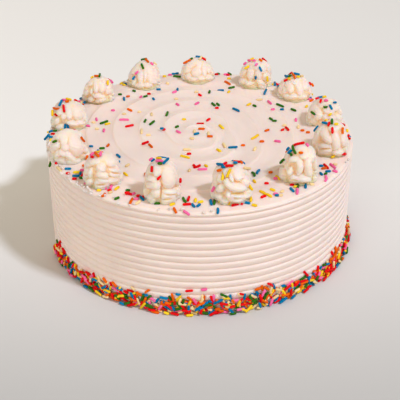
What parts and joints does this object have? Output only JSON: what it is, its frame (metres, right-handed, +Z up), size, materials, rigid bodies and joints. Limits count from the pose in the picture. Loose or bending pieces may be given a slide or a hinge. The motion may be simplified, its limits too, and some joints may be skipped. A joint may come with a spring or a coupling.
{
  "type": "birthday cake",
  "caption": "Round frosted birthday cake with combed sides, a spiral top, a ring of piped swirls and coloured sprinkles.",
  "frame": {"origin": "middle of the flat base that the cake rests on", "axes": "+Z up, -Y towards the front of the cake as it is seen, +X to the right"},
  "size_m": [0.2453, 0.2455, 0.117],
  "materials": {
    "frosting": "satin",
    "cream": "satin",
    "sprinkle_red": "satin",
    "sprinkle_orange": "satin",
    "sprinkle_yellow": "satin",
    "sprinkle_cream": "satin",
    "sprinkle_green": "satin",
    "sprinkle_blue": "satin",
    "sprinkle_pink": "satin"
  },
  "bodies": {
    "root": {"cake": "frosting", "swirl_01": "cream", "swirl_02": "cream", "swirl_03": "cream", "swirl_04": "cream", "swirl_05": "cream", "swirl_06": "cream", "swirl_07": "cream", "swirl_08": "cream", "swirl_09": "cream", "swirl_10": "cream", "swirl_11": "cream", "swirl_12": "cream", "swirl_13": "cream"}
  },
  "joints": []
}
